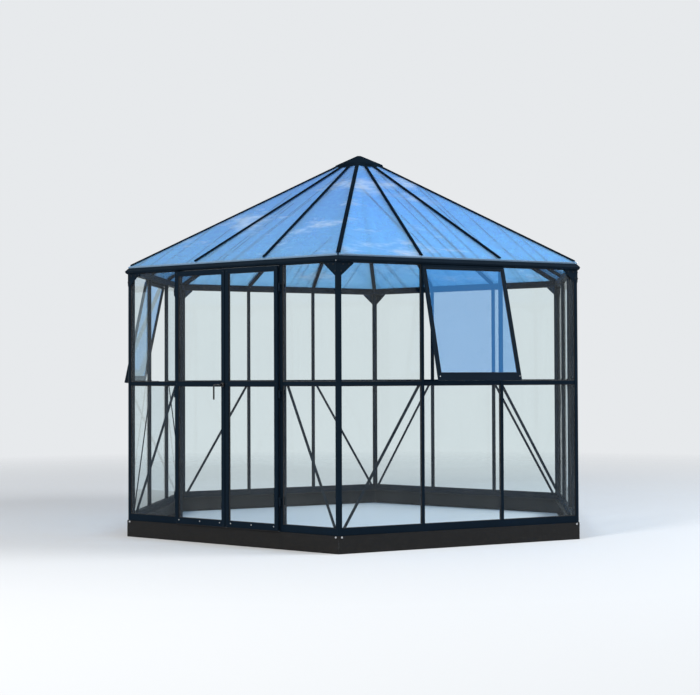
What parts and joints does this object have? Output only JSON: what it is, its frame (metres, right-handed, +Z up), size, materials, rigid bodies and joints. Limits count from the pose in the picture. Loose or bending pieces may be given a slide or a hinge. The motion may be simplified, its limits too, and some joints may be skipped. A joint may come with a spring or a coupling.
{
  "type": "greenhouse",
  "caption": "Hexagonal glass greenhouse with a low pyramid roof of translucent sheets, a hinged double door and top-hung windows that stand open.",
  "frame": {"origin": "ground level, on the upright axis through the roof's top", "axes": "+Z up, the door wall faces -Y, +X is to the right of someone who stands before the door"},
  "size_m": [3.8826, 3.4154, 2.9592],
  "materials": {
    "black_frame": "anthracite powder coat on aluminium profiles, dusty in places",
    "plinth_steel": "dark coated folded steel, splashed with soil",
    "clear_glass": "clear toughened glass with faint dust",
    "twin_wall_sheet": "translucent twin-wall polycarbonate with fine ribs",
    "hinge_metal": "anthracite coated steel",
    "handle_black": "satin black lever"
  },
  "bodies": {
    "house": {"corner_plates": "black_frame", "corner_posts": "black_frame", "door_hinge_pins": "hinge_metal", "door_posts": "black_frame", "eave_beams": "black_frame", "glass_back": "clear_glass", "glass_back_left": "clear_glass", "glass_back_right": "clear_glass", "glass_front": "clear_glass", "glass_front_left": "clear_glass", "glass_front_right": "clear_glass", "glazing_bars": "black_frame", "hip_rafters": "black_frame", "plinth_back": "plinth_steel", "plinth_back_left": "plinth_steel", "plinth_back_right": "plinth_steel", "plinth_front": "plinth_steel", "plinth_front_left": "plinth_steel", "plinth_front_right": "plinth_steel", "rafters": "black_frame", "roof_cap": "black_frame", "roof_hub": "black_frame", "roof_sheets_back": "twin_wall_sheet", "roof_sheets_back_left": "twin_wall_sheet", "roof_sheets_back_right": "twin_wall_sheet", "roof_sheets_front": "twin_wall_sheet", "roof_sheets_front_left": "twin_wall_sheet", "roof_sheets_front_right": "twin_wall_sheet", "sill_rails": "black_frame", "transoms": "black_frame", "wall_braces": "black_frame", "window_heads": "black_frame", "window_left_frame": "black_frame", "window_left_glass": "clear_glass", "window_right_frame": "black_frame", "window_right_glass": "clear_glass", "window_stays": "black_frame"},
    "door_left": {"door_left_frame": "black_frame", "door_left_glass": "clear_glass", "door_left_hinges": "hinge_metal", "door_left_rose": "handle_black"},
    "door_right": {"door_right_frame": "black_frame", "door_right_glass": "clear_glass", "door_right_hinges": "hinge_metal"},
    "handle": {"door_handle": "handle_black"}
  },
  "joints": [
    {"name": "door_left_hinge", "type": "hinge", "parent": "house", "child": "door_left", "pos_m": [-0.477, -1.67845, 1.036], "axis": [0, 0, -1], "range_deg": [0, 100]},
    {"name": "door_right_hinge", "type": "hinge", "parent": "house", "child": "door_right", "pos_m": [0.477, -1.67845, 1.036], "axis": [0, 0, 1], "range_deg": [0, 100]},
    {"name": "handle_turn", "type": "hinge", "parent": "door_left", "child": "handle", "pos_m": [-0.018, -1.69605, 1.128], "axis": [0, 1, 0], "range_deg": [0, 90]}
  ]
}
